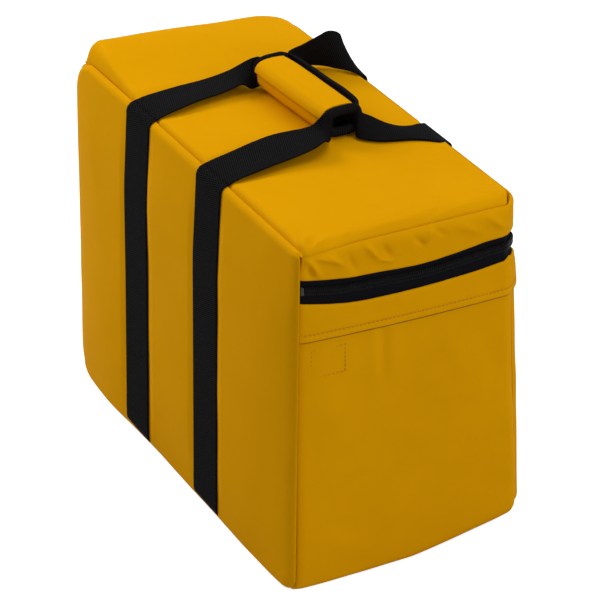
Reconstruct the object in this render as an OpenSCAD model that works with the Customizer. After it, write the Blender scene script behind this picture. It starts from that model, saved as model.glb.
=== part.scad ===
// Padded kit carry bag: a three-sided zipped lid, two girth straps and a wrapped carry grip.
// Millimetres, +Z up, zipped front end toward -Y, hinge side toward -X.

/* [Bag] */
// Width across the two side panels
bag_w = 236; // [200:1:300]
// Length from the front end to the back end
bag_l = 476; // [370:1:560]
// Height of the top panel above the floor
bag_h = 360; // [290:1:440]
// Plan radius of the two corners the zip runs round
corner_r = 20; // [15:1:28]
// Width of the rolled edge beside each seam
seam_roll = 6; // [4:0.5:9]
// Gap between lid and bag along the hinge seam
hinge_gap = 0.4; // [0.3:0.1:1]

/* [Walls] */
// Coated fabric of the outer covers
cover_t = 1.2; // [0.8:0.1:2]
// Closed-cell foam in every padded wall
foam_t = 6; // [4:0.5:9]
// Inner lining fabric
lining_t = 0.8; // [0.5:0.1:1.5]
// Stiff board in the floor of the bag
board_t = 3; // [2:0.5:5]
// Room round the cut foam and board pieces
foam_gap = 0.5; // [0.3:0.1:2]

/* [Zip] */
// Zip centre line below the top panel
zip_drop = 48; // [30:1:60]
// Height of zip that shows between the two folded edges
zip_open = 26; // [22:1:32]
// Width of one zip tape
tape_w = 18; // [15:0.5:22]
// Thickness of the zip tape
tape_t = 0.8; // [0.5:0.1:1.2]
// Height of one row of the coil
coil_w = 4; // [3:0.25:5]
// Thickness of the coil
coil_t = 2; // [1.5:0.1:3]
// Space between the two coil rows
coil_gap = 1.6; // [1.4:0.1:2.4]
// Length of the end stops
stop_l = 4; // [3:0.5:6]
// Height of the folded band below the zip
hem_h = 31; // [24:1:60]
// How far the end panels run up behind that band
hem_lap = 20; // [12:1:28]

/* [Webbing] */
// Webbing width
strap_w = 50; // [38:1:60]
// Webbing thickness
strap_t = 1.8; // [1.2:0.1:2.5]
// Distance between the two girth straps
strap_pitch = 154; // [130:1:200]
// Shift of the strap pair toward the back end
strap_shift = 9; // [0:1:30]
// How far the right-hand runs stand off the bag at the top
strap_lean = 6; // [5:0.5:10]
// Distance from the hinge seam to the sewn strap ends
strap_end = 1.8; // [1.5:0.1:4]
// Height of the handle webbing where it is folded inside the grip
fold_w = 18; // [15:0.5:18]
// Thickness of the folded webbing
fold_t = 4; // [3.6:0.1:5]

/* [Grip] */
// Grip length
grip_l = 124; // [100:1:150]
// Grip width
grip_w = 40; // [36:1:46]
// Grip height
grip_h = 28; // [26:1:34]
// Grip centre off the middle of the bag, across
grip_x = 22; // [0:1:30]
// Grip centre off the middle of the bag, along
grip_y = 6; // [0:1:30]
// Underside of the grip above the top panel
grip_lift = 8; // [6:0.5:14]
// Turn of the grip on the lid, degrees
grip_turn = 3; // [0:1:8]
// Cover of the grip
grip_skin = 1.5; // [1:0.1:2]
// Pad inside the grip
grip_pad = 2.8; // [2:0.1:3.4]
// Height of the flap's lip on the left of the grip
lip_h = 15; // [14:0.5:17]
// Distance from the grip's right face to the flap's fold
fold_in = 9; // [8:0.5:12]
// Thickness of each half of the hook-and-loop strip
fastener_t = 0.8; // [0.6:0.1:1.2]
// Height of the hook-and-loop strip
fastener_h = 8; // [6:0.5:8.5]
// Gap between the flap and the grip
flap_gap = 0.3; // [0.3:0.1:0.6]

/* [Slider] */
// Slider length along the zip
slider_l = 14; // [11:0.5:18]
// Slider height across the zip
slider_w = 12; // [11:0.5:15]
// Slider plate thickness
plate_t = 1.4; // [1:0.1:2]
// Gap between the slider and the coil or tape
slider_gap = 0.3; // [0.3:0.05:0.5]
// Length of the pull tab
pull_l = 30; // [22:1:40]
// Width of the pull tab
pull_w = 10; // [9:0.5:14]
// Thickness of the pull tab
pull_t = 1.6; // [1.2:0.1:2]
// Pull pin radius
pin_r = 1; // [0.8:0.05:1.3]
// Radial clearance of the pull pin
pin_gap = 0.05; // [0.03:0.01:0.1]

/* [Hidden] */
half_w = bag_w / 2;
half_l = bag_l / 2;
base_z = strap_t;
floor_z = base_z + cover_t;
hinge_x = -half_w + seam_roll;
lid_x = hinge_x + hinge_gap;
zip_z = bag_h - zip_drop;
zip_hi = zip_z + zip_open / 2;
zip_lo = zip_z - zip_open / 2;
hem_z = zip_lo - hem_h;
foam_top = zip_z - tape_w;
wall_in = 2 * cover_t + foam_t;
left_in = -half_w + cover_t + foam_t;
lid_under = bag_h - cover_t - foam_t - lining_t;
tub_z = floor_z + board_t + foam_t;
front_y = strap_shift - strap_pitch / 2;
rear_y = strap_shift + strap_pitch / 2;
right_x = half_w + strap_lean + strap_t / 2;
corner_x = half_w - corner_r;
corner_y = half_l - corner_r;
grip_z = bag_h + grip_lift;
grip_top = grip_z + grip_h;
grip_e = grip_l / 2;
grip_s = grip_w / 2;
wall_top = grip_top - grip_skin - grip_pad - flap_gap;
fold_x = grip_s - fold_in;
base_s = grip_s - grip_skin - 2 * fastener_t - flap_gap;
slider_x = hinge_x + stop_l + 3 + slider_l / 2;
coil_y = half_l - cover_t + coil_t;
tape_y = half_l - cover_t - tape_t;
plate_y = coil_y + slider_gap;
pin_y = plate_y + plate_t + pin_r + 0.7;
yellow = [0.87, 0.62, 0.07];
black = [0.1, 0.1, 0.11];
grey = [0.45, 0.46, 0.48];
foam = [0.75, 0.75, 0.72];
steel = [0.3, 0.3, 0.32];

// Piece to draw

// Bag-plan block: square on the left, rounded on the right
module block(left, inset, z0, z1) {
    x1 = half_w - inset;
    y1 = half_l - inset;
    r = corner_r - inset;
    pts = concat([[left, -y1]],
        [for (a = [-90:7.5:0]) [x1 - r + r * cos(a), -y1 + r + r * sin(a)]],
        [for (a = [0:7.5:90]) [x1 - r + r * cos(a), y1 - r + r * sin(a)]],
        [[left, y1]]);
    translate([0, 0, z0])
        linear_extrude(height = z1 - z0)
            polygon(pts);
}

// Strip that follows the front, right and back of the bag
module strip(left, inset, t, z0, z1) {
    difference() {
        block(left, inset, z0, z1);
        block(left - 1, inset + t, z0 - 1, z1 + 1);
    }
}

// Plain upright slab between two corners
module slab(a, b) {
    translate(a)
        cube(b - a);
}

// Filled outline with four rounded corners, drawn in the X-Z plane and run along Y
module bar(x0, x1, z0, z1, r, y0, y1) {
    pts = concat(
        [for (a = [180:15:270]) [x0 + r + r * cos(a), z0 + r + r * sin(a)]],
        [for (a = [270:15:360]) [x1 - r + r * cos(a), z0 + r + r * sin(a)]],
        [for (a = [0:15:90]) [x1 - r + r * cos(a), z1 - r + r * sin(a)]],
        [for (a = [90:15:180]) [x0 + r + r * cos(a), z1 - r + r * sin(a)]]);
    translate([0, y1, 0])
        rotate([90, 0, 0])
            linear_extrude(height = y1 - y0)
                polygon(pts);
}

// Padded wall covers
module wall_ring() {
    strip(hinge_x, cover_t, cover_t, base_z, hem_z + hem_lap);
}

module plan_cut(pts) {
    translate([0, 0, base_z - 1])
        linear_extrude(height = bag_h)
            polygon(pts);
}

module left_side_cover() {
    r = seam_roll * 0.75;
    color(yellow) difference() {
        intersection() {
            translate([0, 0, base_z])
                linear_extrude(height = bag_h - base_z)
                    polygon(concat([[hinge_x, -half_l], [hinge_x, half_l]],
                        [for (a = [90:15:180]) [-half_w + r + r * cos(a), half_l - r + r * sin(a)]],
                        [for (a = [180:15:270]) [-half_w + r + r * cos(a), -half_l + r + r * sin(a)]]));
            translate([0, half_l, 0])
                rotate([90, 0, 0])
                    linear_extrude(height = bag_l)
                        polygon(concat([[hinge_x, base_z], [hinge_x, bag_h]],
                            [for (a = [90:15:180]) [-half_w + r + r * cos(a), bag_h - r + r * sin(a)]],
                            [for (a = [180:15:270]) [-half_w + r + r * cos(a), base_z + r + r * sin(a)]]));
        }
        slab([-half_w + cover_t, -half_l + 2 * cover_t, floor_z],
            [hinge_x + 1, half_l - 2 * cover_t, bag_h - cover_t]);
    }
}

module front_cover() {
    color(yellow) intersection() {
        wall_ring();
        plan_cut([[hinge_x - 9, -corner_y], [corner_x, -corner_y],
            [corner_x + 60, -corner_y - 60], [hinge_x - 9, -corner_y - 60]]);
    }
}

module right_side_cover() {
    color(yellow) intersection() {
        wall_ring();
        plan_cut([[corner_x, -corner_y], [corner_x + 60, -corner_y - 60],
            [corner_x + 60, corner_y + 60], [corner_x, corner_y]]);
    }
}

module back_cover() {
    color(yellow) intersection() {
        wall_ring();
        plan_cut([[hinge_x - 9, corner_y], [corner_x, corner_y],
            [corner_x + 60, corner_y + 60], [hinge_x - 9, corner_y + 60]]);
    }
}

module base_cover() {
    color(yellow) block(hinge_x, 2 * cover_t, base_z, floor_z);
}

// Stiffener, foam and lining
module base_board() {
    color(black) slab([left_in + foam_gap, -half_l + wall_in + foam_gap, floor_z],
        [half_w - wall_in - foam_gap, half_l - wall_in - foam_gap, floor_z + board_t]);
}

module base_foam() {
    color(foam) slab([left_in + foam_gap, -half_l + wall_in + foam_gap, floor_z + board_t],
        [half_w - wall_in - foam_gap, half_l - wall_in - foam_gap, tub_z]);
}

module left_foam() {
    color(foam) slab([-half_w + cover_t, -half_l + 2 * cover_t + foam_gap, floor_z],
        [left_in, half_l - 2 * cover_t - foam_gap, lid_under - foam_gap]);
}

module right_foam() {
    color(foam) slab([half_w - wall_in, -corner_y + foam_gap, floor_z],
        [half_w - 2 * cover_t, corner_y - foam_gap, foam_top]);
}

module end_foam(s) {
    y0 = half_l - wall_in;
    color(foam) slab([left_in, s > 0 ? y0 : -y0 - foam_t, floor_z],
        [corner_x - foam_gap, s > 0 ? y0 + foam_t : -y0, foam_top]);
}

module front_foam() {
    end_foam(-1);
}

module back_foam() {
    end_foam(1);
}

module lining_tub() {
    color(grey) union() {
        difference() {
            block(left_in, wall_in, tub_z, foam_top);
            block(left_in + lining_t, wall_in + lining_t, tub_z + lining_t, foam_top + 1);
        }
        strip(left_in, cover_t + tape_t, foam_t + lining_t + cover_t - tape_t, foam_top, foam_top + lining_t);
        slab([left_in, -half_l + wall_in, foam_top - 5],
            [left_in + lining_t, half_l - wall_in, lid_under - foam_gap]);
    }
}

// Zip and its folded bands
module hem_band() {
    color(yellow) strip(hinge_x, 0, cover_t, hem_z, zip_lo);
}

module zip_tape_lower() {
    color(black) strip(hinge_x, cover_t, tape_t, zip_z - tape_w, zip_z - coil_gap / 2);
}

module zip_coil_lower() {
    color(black) strip(hinge_x + stop_l + 1, cover_t - coil_t, coil_t,
        zip_z - coil_gap / 2 - coil_w, zip_z - coil_gap / 2);
}

module zip_stops() {
    y0 = half_l - cover_t;
    z0 = zip_z - coil_gap / 2 - coil_w;
    for (s = [-1, 1])
        color(steel) slab([hinge_x + 0.5, s > 0 ? y0 : -coil_y, z0],
            [hinge_x + 0.5 + stop_l, s > 0 ? coil_y : -y0, z0 + coil_w]);
}

// Girth strap: over the hinge seam, down the left, under the base and up the right
module girth(y) {
    x0 = half_w - cover_t + 0.1;
    x1 = half_w + strap_lean;
    xe = hinge_x - strap_end;
    pts = concat([[xe, bag_h], [xe, bag_h + strap_t]],
        [for (a = [90:15:180]) [-half_w + strap_t * cos(a), bag_h + strap_t * sin(a)]],
        [for (a = [180:15:270]) [-half_w + strap_t * cos(a), base_z + strap_t * sin(a)]],
        [for (a = [270:15:360]) [x0 + strap_t * cos(a), base_z + strap_t * sin(a)]],
        [[x1 + strap_t, bag_h], [x1, bag_h], [x0, base_z], [-half_w, base_z], [-half_w, bag_h]]);
    color(black) translate([0, y + strap_w / 2, 0])
        rotate([90, 0, 0])
            linear_extrude(height = strap_w)
                polygon(pts);
}

module front_girth_strap() {
    girth(front_y);
}

module rear_girth_strap() {
    girth(rear_y);
}

// Lid
module top_cover() {
    color(yellow) block(lid_x, seam_roll, bag_h - cover_t, bag_h);
}

module top_foam() {
    color(foam) block(lid_x, cover_t + 0.2, bag_h - cover_t - foam_t, bag_h - cover_t);
}

module lid_lining() {
    color(grey) block(lid_x, cover_t + 0.2, lid_under, lid_under + lining_t);
}

module lid_band() {
    color(yellow) difference() {
        block(lid_x, 0, zip_hi, bag_h);
        block(lid_x - 1, cover_t, zip_hi - 1, bag_h - cover_t);
        block(lid_x - 1, seam_roll, zip_hi - 1, bag_h + 1);
    }
}

module zip_tape_upper() {
    color(black) strip(lid_x, cover_t, tape_t, zip_z + coil_gap / 2, zip_z + tape_w);
}

module zip_coil_upper() {
    color(black) strip(lid_x + stop_l + 1, cover_t - coil_t, coil_t,
        zip_z + coil_gap / 2, zip_z + coil_gap / 2 + coil_w);
}

// Handle webbing: a flat strip through stations [point, width direction, width, thickness]
function unit(v) = v / norm(v);
function run(st, i) = unit(st[min(i + 1, len(st) - 1)][0] - st[max(i - 1, 0)][0]);
function side(st, i) = unit(st[i][1] - run(st, i) * (st[i][1] * run(st, i)));
function corners(st, i) = let (w = side(st, i) * st[i][2] / 2,
    n = cross(run(st, i), side(st, i)) * st[i][3] / 2,
    p = st[i][0]) [p + w + n, p - w + n, p - w - n, p + w - n];

// Smooth run through the stations, four steps to each
function bend(a, b, c, d, t) = b + t / 2 * (c - a + t * (2 * a - 5 * b + 4 * c - d + t * (3 * (b - c) + d - a)));
function between(st, i, t) = let (a = st[max(i - 1, 0)], b = st[i], c = st[i + 1],
    d = st[min(i + 2, len(st) - 1)]) [bend(a[0], b[0], c[0], d[0], t), bend(a[1], b[1], c[1], d[1], t),
    b[2] + t * (c[2] - b[2]), b[3] + t * (c[3] - b[3])];
function smooth(st) = concat([for (i = [0:len(st) - 2]) for (k = [0:3]) between(st, i, k / 4)],
    [st[len(st) - 1]]);

module ribbon(rough) {
    st = smooth(rough);
    n = len(st);
    pts = [for (i = [0:n - 1]) for (p = corners(st, i)) p];
    walls = [for (i = [0:n - 2]) for (k = [0:3]) for (t = [0:1])
        t == 0 ? [4 * i + k, 4 * i + (k + 1) % 4, 4 * i + 4 + k]
            : [4 * i + (k + 1) % 4, 4 * i + 4 + (k + 1) % 4, 4 * i + 4 + k]];
    ends = [[0, 2, 1], [0, 3, 2], [4 * n - 4, 4 * n - 3, 4 * n - 2], [4 * n - 4, 4 * n - 2, 4 * n - 1]];
    polyhedron(points = pts, faces = concat(walls, ends), convexity = 10);
}

// Point in the turned frame of the grip
function on_grip(x, y, z) = [grip_x + x * cos(grip_turn) - y * sin(grip_turn),
    grip_y + x * sin(grip_turn) + y * cos(grip_turn), z];

module left_handle_strap() {
    xa = grip_x - grip_s;
    xi = (grip_s - base_s) / 2;
    zi = grip_z + grip_skin + grip_pad + 0.6 + fold_w / 2;
    color(black) ribbon([
        [[lid_x + 0.2, rear_y, bag_h + 1.4], [0, 1, 0], strap_w, strap_t],
        [[lid_x + 38, rear_y, bag_h + 2.6], [0, 1, 0], strap_w, strap_t],
        [[xa - 44, rear_y, bag_h + 7], [0, 1, 0], strap_w, strap_t],
        [[xa - 24, rear_y - 3, bag_h + 2 + strap_w / 4], [0, 0.87, 0.5], strap_w - 2, strap_t],
        [on_grip(-grip_s - 4, grip_e + 10, bag_h - 0.5 + 0.47 * strap_w), [0, 0.35, 0.94], strap_w - 10, strap_t],
        [on_grip(-grip_s + 10, grip_e + 9, zi + 1), [0, 0.1, 1], fold_w + 10, strap_t + 1],
        [on_grip(xi - 2, grip_e + 3, zi), [0, 0, 1], fold_w, fold_t],
        [on_grip(xi, grip_e - 10, zi), [0, 0, 1], fold_w, fold_t],
        [on_grip(xi, -grip_e + 10, zi), [0, 0, 1], fold_w, fold_t],
        [on_grip(xi - 2, -grip_e - 3, zi), [0, 0, 1], fold_w, fold_t],
        [on_grip(-grip_s + 10, -grip_e - 9, zi + 1), [0, -0.1, 1], fold_w + 10, strap_t + 1],
        [on_grip(-grip_s - 4, -grip_e - 10, bag_h - 0.5 + 0.47 * strap_w), [0, -0.35, 0.94], strap_w - 10, strap_t],
        [[xa - 24, front_y + 3, bag_h + 2 + strap_w / 4], [0, -0.87, 0.5], strap_w - 2, strap_t],
        [[xa - 44, front_y, bag_h + 7], [0, -1, 0], strap_w, strap_t],
        [[lid_x + 38, front_y, bag_h + 2.6], [0, -1, 0], strap_w, strap_t],
        [[lid_x + 0.2, front_y, bag_h + 1.4], [0, -1, 0], strap_w, strap_t]]);
}

module right_handle_strap() {
    xo = grip_s + 1.8 + fold_t / 2;
    wo = strap_w / 2;
    zo = grip_top + 4 - wo / 2;
    color(black) ribbon([
        [[right_x, rear_y, bag_h + 0.4], [0, 1, 0], strap_w, strap_t],
        [[right_x - 1, rear_y, bag_h + 7], [0, 1, 0], strap_w, strap_t],
        [[right_x - 8, rear_y, bag_h + 12], [0, 1, 0], strap_w, strap_t],
        [[right_x - 24, rear_y + 3, bag_h + 6.5 + strap_w / 4], [0, 0.87, 0.5], strap_w, strap_t],
        [[right_x - 46, rear_y + 5, bag_h + 2.25 + 0.455 * strap_w], [0, 0.42, 0.91], strap_w, strap_t],
        [[right_x - 64, rear_y + 1, bag_h + 0.75 + 0.495 * strap_w], [0, 0.1, 0.99], strap_w - 2, strap_t],
        [on_grip(xo + 4, grip_e + 8, zo - 2), [0, 0, 1], wo + 11, strap_t + 1],
        [on_grip(xo, grip_e - 10, zo), [0, 0, 1], wo, fold_t],
        [on_grip(xo, -grip_e + 10, zo), [0, 0, 1], wo, fold_t],
        [on_grip(xo + 4, -grip_e - 8, zo - 3), [0, 0, 1], wo + 8, strap_t + 1],
        [on_grip(xo + 18, -grip_e - 14, bag_h - 2 + 0.47 * strap_w), [0, 0.35, 0.94], strap_w - 12, strap_t],
        [[right_x - 34, front_y + 1, bag_h + 1.5 + 0.3 * strap_w], [0, 0.8, 0.6], strap_w - 4, strap_t],
        [[right_x - 18, front_y, bag_h + 10], [0, 1, 0.1], strap_w, strap_t],
        [[right_x - 6, front_y, bag_h + 8], [0, 1, 0], strap_w, strap_t],
        [[right_x - 1, front_y, bag_h + 5], [0, 1, 0], strap_w, strap_t],
        [[right_x, front_y, bag_h + 0.4], [0, 1, 0], strap_w, strap_t]]);
}

// Grip
module at_grip() {
    translate([grip_x, grip_y, 0])
        rotate([0, 0, grip_turn])
            children();
}

module grip_cover() {
    color(yellow) at_grip() difference() {
        bar(-base_s, grip_s, grip_z, grip_top, 6, -grip_e, grip_e);
        bar(-base_s + grip_skin, grip_s - grip_skin, grip_z + grip_skin, grip_top - grip_skin, 4.5,
            -grip_e - 1, grip_e + 1);
        slab([-grip_s, -grip_e - 1, wall_top], [fold_x + flap_gap / 2, grip_e + 1, grip_top + 1]);
    }
}

module grip_inner_pad() {
    i = grip_skin + grip_pad;
    color(foam) at_grip() difference() {
        bar(-base_s + grip_skin, grip_s - grip_skin, grip_z + grip_skin, grip_top - grip_skin, 4.5,
            -grip_e + 1, grip_e - 1);
        bar(-base_s + i, grip_s - i, grip_z + i, grip_top + 9, 2, -grip_e, grip_e);
        slab([-grip_s, -grip_e, wall_top], [fold_x + flap_gap / 2, grip_e, grip_top + 1]);
    }
}

module hook_strip() {
    z0 = grip_top - lip_h + 0.5;
    color(black) at_grip() slab([-base_s - fastener_t, -grip_e + 5, z0],
        [-base_s, grip_e - 5, z0 + fastener_h]);
}

module flap_cover() {
    color(yellow) at_grip() intersection() {
        difference() {
            bar(-grip_s, grip_s, grip_z, grip_top, 6, -grip_e, grip_e);
            bar(-grip_s + grip_skin, grip_s - grip_skin, grip_z - 9, grip_top - grip_skin, 4.5,
                -grip_e - 1, grip_e + 1);
        }
        slab([-grip_s - 1, -grip_e - 1, grip_top - lip_h], [fold_x - flap_gap / 2, grip_e + 1, grip_top + 1]);
    }
}

module flap_pad() {
    color(foam) at_grip() intersection() {
        bar(-grip_s + grip_skin, grip_s - grip_skin, grip_z - 9, grip_top - grip_skin, 4.5,
            -grip_e + 1, grip_e - 1);
        slab([-base_s, -grip_e, wall_top + flap_gap], [fold_x - flap_gap / 2, grip_e, grip_top]);
    }
}

module loop_strip() {
    z0 = grip_top - lip_h + 0.5;
    color(black) at_grip() slab([-grip_s + grip_skin, -grip_e + 5, z0],
        [-grip_s + grip_skin + fastener_t, grip_e - 5, z0 + fastener_h]);
}

// Zip slider on the back end, and its pull
module slider_plate(y0) {
    a = slider_l / 2;
    b = slider_w / 2;
    translate([slider_x, y0 + plate_t, zip_z])
        rotate([90, 0, 0])
            linear_extrude(height = plate_t)
                polygon([[-a, -b * 0.6], [-a * 0.6, -b], [a * 0.7, -b], [a, -b * 0.75],
                    [a, b * 0.75], [a * 0.7, b], [-a * 0.6, b], [-a, b * 0.6]]);
}

module slider_body() {
    y0 = tape_y - slider_gap - plate_t;
    p = coil_gap / 2 - slider_gap;
    color(steel) difference() {
        union() {
            slider_plate(plate_y);
            slider_plate(y0);
            slab([slider_x - 1.5, y0 + plate_t / 2, zip_z - p], [slider_x + 1.5, plate_y + plate_t / 2, zip_z + p]);
            slab([slider_x - pin_r - 1.4, plate_y + plate_t / 2, zip_z - 2],
                [slider_x + pin_r + 1.4, pin_y + pin_r + 1, zip_z + 2]);
        }
        translate([slider_x, pin_y, zip_z - 3])
            cylinder(r = pin_r + pin_gap, h = 6, $fn = 48);
    }
}

module pull_tab() {
    color(steel) union() {
        translate([slider_x, pin_y, zip_z - 3.4])
            cylinder(r = pin_r, h = 6.8, $fn = 48);
        for (s = [-1, 1])
            slab([slider_x, pin_y - pull_t / 2, zip_z + (s > 0 ? 2.3 : -3.4)],
                [slider_x + 6, pin_y + pull_t / 2, zip_z + (s > 0 ? 3.4 : -2.3)]);
        difference() {
            slab([slider_x + 5, pin_y - pull_t / 2, zip_z - pull_w / 2],
                [slider_x + 5 + pull_l, pin_y + pull_t / 2, zip_z + pull_w / 2]);
            translate([slider_x + pull_l, pin_y + 3, zip_z])
                rotate([90, 0, 0])
                    cylinder(r = pull_w / 4, h = 6, $fn = 32);
        }
    }
}

left_side_cover();
front_cover();
right_side_cover();
back_cover();
base_cover();
base_board();
base_foam();
left_foam();
right_foam();
front_foam();
back_foam();
lining_tub();
hem_band();
zip_tape_lower();
zip_coil_lower();
zip_stops();
front_girth_strap();
rear_girth_strap();
top_cover();
top_foam();
lid_lining();
lid_band();
zip_tape_upper();
zip_coil_upper();
left_handle_strap();
grip_cover();
grip_inner_pad();
hook_strip();
flap_cover();
flap_pad();
loop_strip();
right_handle_strap();
slider_body();
pull_tab();
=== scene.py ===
import math
import bpy
import numpy as np
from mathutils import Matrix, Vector, noise


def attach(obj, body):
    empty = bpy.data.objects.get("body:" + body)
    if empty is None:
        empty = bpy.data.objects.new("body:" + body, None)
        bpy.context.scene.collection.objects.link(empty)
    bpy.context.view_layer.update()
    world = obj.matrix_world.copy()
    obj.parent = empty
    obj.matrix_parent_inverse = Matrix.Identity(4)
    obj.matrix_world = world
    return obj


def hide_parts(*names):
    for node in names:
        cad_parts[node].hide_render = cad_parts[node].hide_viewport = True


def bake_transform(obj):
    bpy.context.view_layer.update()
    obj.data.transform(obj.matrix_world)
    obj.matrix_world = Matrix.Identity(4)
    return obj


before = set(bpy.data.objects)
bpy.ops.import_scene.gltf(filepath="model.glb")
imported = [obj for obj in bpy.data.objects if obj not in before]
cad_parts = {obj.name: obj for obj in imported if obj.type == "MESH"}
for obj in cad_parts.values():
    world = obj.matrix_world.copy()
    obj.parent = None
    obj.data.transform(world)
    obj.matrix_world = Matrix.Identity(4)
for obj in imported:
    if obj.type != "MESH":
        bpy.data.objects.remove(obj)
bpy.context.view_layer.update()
mm = 0.001


def lerp(a, b, t):
    return a + (b - a) * t


def ease(t):
    t = np.clip(t, 0.0, 1.0)
    return t * t * (3 - 2 * t)


def hump(x, centre, width):
    return np.exp(-((x - centre) / width) ** 2)


def curve(xs, ys, q):  # smooth line through knots
    xs, ys = np.asarray(xs, float), np.asarray(ys, float)
    slope = np.gradient(ys, xs)
    q = np.clip(q, xs[0], xs[-1])
    i = np.clip(np.searchsorted(xs, q, side="right") - 1, 0, len(xs) - 2)
    h = xs[i + 1] - xs[i]
    t = (q - xs[i]) / h
    level = ((2 * t - 3) * t * t + 1) * ys[i] + (3 - 2 * t) * t * t * ys[i + 1]
    return level + ((t - 2) * t + 1) * t * h * slope[i] + (t - 1) * t * t * h * slope[i + 1]


def wander(a, b, scale, seed):  # smooth noise over two coordinates, in mm
    a, b = np.broadcast_arrays(np.asarray(a, float), np.asarray(b, float))
    spots = zip(a.ravel() / scale, b.ravel() / scale)
    return np.array([noise.fractal((p, q, seed), 0.6, 2.0, 2) for p, q in spots]).reshape(a.shape)


def crease(x, z, start, stop, width, height):  # a soft ridge along a line
    d = np.subtract(stop, start)
    t = np.clip(((x - start[0]) * d[0] + (z - start[1]) * d[1]) / (d @ d), 0, 1)
    near = np.hypot(x - start[0] - t * d[0], z - start[1] - t * d[1])
    return height * np.exp(-(near / width) ** 1.4) * np.sin(np.pi * np.clip(t * 0.8 + 0.1, 0, 1))


def creases(x, z, lines):
    return sum(crease(x, z, *line) for line in lines)


def lengthAlong(points):
    steps = np.linalg.norm(np.diff(points, axis=0), axis=1)
    return np.concatenate([[0], np.cumsum(steps)])


# materials

class Sock:
    def __init__(self, shade, out):
        self.shade, self.out = shade, out

    def __add__(self, other):
        return self.shade.maths("ADD", self, other)

    def __sub__(self, other):
        return self.shade.maths("SUBTRACT", self, other)

    def __rsub__(self, other):
        return self.shade.maths("SUBTRACT", other, self)

    def __mul__(self, other):
        return self.shade.maths("MULTIPLY", self, other)

    __radd__ = __add__
    __rmul__ = __mul__


class Shade:
    def __init__(self, owner, **constants):
        owner.use_nodes = True
        self.owner, self.tree = owner, owner.node_tree
        self.main = next(n for n in self.tree.nodes if n.type in ("BSDF_PRINCIPLED", "BACKGROUND"))
        for key, value in constants.items():
            self.main.inputs[key.replace("_", " ")].default_value = value

    def node(self, kind, inputs=(), **props):
        made = self.tree.nodes.new(kind)
        for key, value in props.items():
            setattr(made, key, value)
        for key, value in dict(inputs).items():
            if isinstance(value, Sock):
                self.tree.links.new(value.out, made.inputs[key])
            else:
                made.inputs[key].default_value = value
        return made

    def maths(self, operation, *values):
        made = self.node("ShaderNodeMath", enumerate(values), operation=operation)
        return Sock(self, made.outputs[0])

    def uv(self):
        weave = Sock(self, self.node("ShaderNodeUVMap", uv_map="weave").outputs[0])
        split = self.node("ShaderNodeSeparateXYZ", {0: weave})
        return Sock(self, split.outputs[0]), Sock(self, split.outputs[1])

    def place(self):
        return Sock(self, self.node("ShaderNodeTexCoord").outputs["Object"])

    def cloud(self, where, scale, detail=3.0, rough=0.55):
        inputs = {"Vector": where, "Scale": scale, "Detail": detail, "Roughness": rough}
        return Sock(self, self.node("ShaderNodeTexNoise", inputs).outputs[0])

    def ramp(self, value, low, high, a=0.0, b=1.0):
        inputs = {"Value": value, "From Min": low, "From Max": high, "To Min": a, "To Max": b}
        return Sock(self, self.node("ShaderNodeMapRange", inputs).outputs[0])

    def mix(self, factor, a, b):
        made = self.node("ShaderNodeMix", {0: factor, 6: a, 7: b}, data_type="RGBA")
        return Sock(self, made.outputs[2])

    def wave(self, value, pitch):  # 0 to 1 along value, one crest every pitch metres
        return self.maths("SINE", value * (2 * math.pi / pitch)) * 0.5 + 0.5

    def bumps(self, *layers):  # (height, strength, distance) from coarse to fine
        normal = None
        for height, strength, distance in layers:
            inputs = {"Height": height, "Strength": strength, "Distance": distance}
            if normal:
                inputs["Normal"] = normal
            normal = Sock(self, self.node("ShaderNodeBump", inputs).outputs[0])
        self.put("Normal", normal)

    def put(self, socket, value):
        self.tree.links.new(value.out, self.main.inputs[socket])

    def backdrop(self, socket, shown, plain):  # one grey where it is seen, another as light
        rays = self.node("ShaderNodeLightPath").outputs
        seen = self.maths("MAXIMUM", Sock(self, rays["Is Camera Ray"]), Sock(self, rays["Is Glossy Ray"]))
        seen = self.maths("MAXIMUM", seen, Sock(self, rays["Is Transmission Ray"]))
        self.put(socket, self.mix(seen, (plain, plain, plain, 1), (shown, shown, shown, 1)))


def newShade(name, **constants):
    return Shade(bpy.data.materials.new(name), **constants)


def coatedFabric(name, base, deep, rough=0.42):
    s = newShade(name, Specular_IOR_Level=0.002)
    u, v = s.uv()
    where = s.place()
    patch = s.cloud(where, 9.0, 4.0)
    scuff = s.ramp(s.cloud(where, 60.0, 5.0, 0.65), 0.45, 0.75)
    weave = s.wave(u, 0.0011) * s.wave(v, 0.0011)
    s.put("Base Color", s.mix(s.ramp(patch, 0.3, 0.75) * 0.55 + scuff * 0.12, base, deep))
    s.put("Roughness", s.ramp(patch, 0.3, 0.7, rough - 0.05, rough + 0.07) + weave * 0.03)
    s.bumps((s.cloud(where, 26.0, 2.0), 0.35, 0.0015), (s.cloud(where, 140.0, 3.0), 0.2, 0.0004),
            (weave, 0.12, 0.0002))
    return s.owner


def ribbedWebbing(name, base, lit):
    s = newShade(name, Specular_IOR_Level=0.003)
    u, v = s.uv()  # u along the strap, v across it
    zigzag = s.maths("PINGPONG", v, 0.0032)
    rib = s.wave(u + zigzag * 0.55, 0.0021)
    cord = s.wave(v, 0.0032)
    fibre = s.cloud(s.place(), 900.0, 2.0)
    s.put("Base Color", s.mix(s.ramp(rib, 0.25, 0.95) * 0.8 + fibre * 0.2, base, lit))
    s.put("Roughness", 0.75 - rib * 0.25)
    s.bumps((cord, 0.3, 0.0003), (rib, 0.8, 0.0006), (fibre, 0.25, 0.0002))
    return s.owner


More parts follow.
